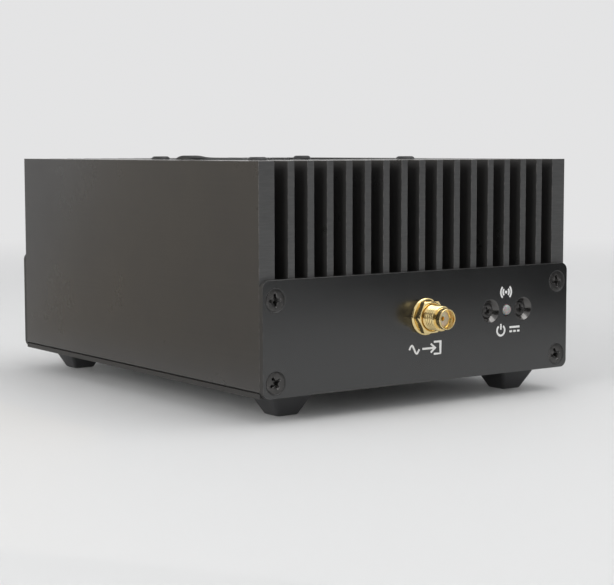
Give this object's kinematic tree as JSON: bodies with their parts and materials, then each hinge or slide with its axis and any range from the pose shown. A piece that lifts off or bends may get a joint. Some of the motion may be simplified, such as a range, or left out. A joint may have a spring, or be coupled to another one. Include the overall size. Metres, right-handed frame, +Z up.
{
  "type": "radio power amplifier",
  "caption": "Small black finned radio power amplifier on rubber feet, with coaxial jacks front and rear, a lamp, and a fan let into the fins.",
  "frame": {"origin": "on the floor, in the middle between the feet", "axes": "+X right along the front, +Y to the rear, +Z up; the front plate faces -Y"},
  "size_m": [0.1, 0.1452, 0.0635],
  "materials": {
    "black_anodised": "black anodised extrusion with fine draw lines",
    "plate_black": "black anodised sheet, fine matte grain",
    "screw_black": "blackened steel",
    "foot_rubber": "matte moulded rubber",
    "gold_plate": "gold plated",
    "white_insulator": "smooth white fluoropolymer",
    "socket_plastic": "moulded",
    "tinned_metal": "nickel plated",
    "lamp_lens": "milky, clear coat",
    "board_green": "solder mask",
    "wire_cover": "soft insulation",
    "fan_plastic": "moulded, fine texture",
    "bearing_bronze": "sintered bronze",
    "core_steel": "ground",
    "magnet_dark": "bonded ferrite",
    "copper": "bare copper",
    "fan_lead_cover": "soft black sleeve",
    "header_plastic": "moulded nylon",
    "transistor_gold": "gold plated",
    "transistor_ceramic": "ceramic",
    "chip_black": "moulded epoxy",
    "relay_case": "moulded",
    "chip_tan": "ceramic chip",
    "capacitor_sleeve": "shrink sleeve"
  },
  "bodies": {
    "amplifier": {"heatsink_body": "black_anodised", "front_plate": "plate_black", "rear_plate": "plate_black", "bottom_plate": "plate_black", "end_plate_screws": "screw_black", "bottom_plate_screws": "screw_black", "lamp_screws": "screw_black", "fan_screws": "screw_black", "foot_front_left": "foot_rubber", "foot_front_right": "foot_rubber", "foot_rear_left": "foot_rubber", "foot_rear_right": "foot_rubber", "input_jack_shell": "gold_plate", "input_jack_nut": "gold_plate", "input_jack_washer": "gold_plate", "input_jack_contact": "gold_plate", "output_jack_shell": "gold_plate", "output_jack_nut": "gold_plate", "output_jack_washer": "gold_plate", "output_jack_contact": "gold_plate", "input_jack_insulator": "white_insulator", "output_jack_insulator": "white_insulator", "power_socket": "socket_plastic", "power_socket_nut": "tinned_metal", "power_socket_sleeve": "tinned_metal", "power_socket_pin": "tinned_metal", "lamp_legs": "tinned_metal", "lamp_spacers": "tinned_metal", "lamp_nuts": "tinned_metal", "board_spacers": "tinned_metal", "board_screws": "tinned_metal", "transistor_screws": "tinned_metal", "lamp": "lamp_lens", "lamp_board": "board_green", "fan_board": "board_green", "rf_board": "board_green", "lamp_leads": "wire_cover", "supply_leads": "wire_cover", "fan_frame": "fan_plastic", "fan_spider": "fan_plastic", "fan_bearing": "bearing_bronze", "fan_stator": "core_steel", "fan_windings": "copper", "heat_spreader": "copper", "filter_coils": "copper", "fan_lead": "fan_lead_cover", "fan_header": "header_plastic", "transistor_flange": "transistor_gold", "transistor_leads": "transistor_gold", "transistor_lid": "transistor_ceramic", "driver_amplifier": "chip_black", "bias_regulator": "chip_black", "input_relay": "relay_case", "output_relay": "relay_case", "filter_capacitors": "chip_tan", "supply_capacitors": "capacitor_sleeve"},
    "impeller": {"fan_rotor": "fan_plastic", "fan_magnet": "magnet_dark", "fan_shaft": "core_steel", "fan_clip": "core_steel"}
  },
  "joints": [
    {"name": "fan_spin", "type": "hinge", "parent": "amplifier", "child": "impeller", "pos_m": [0, 0, 0.0537], "axis": [0, 0, 1], "continuous": true}
  ]
}
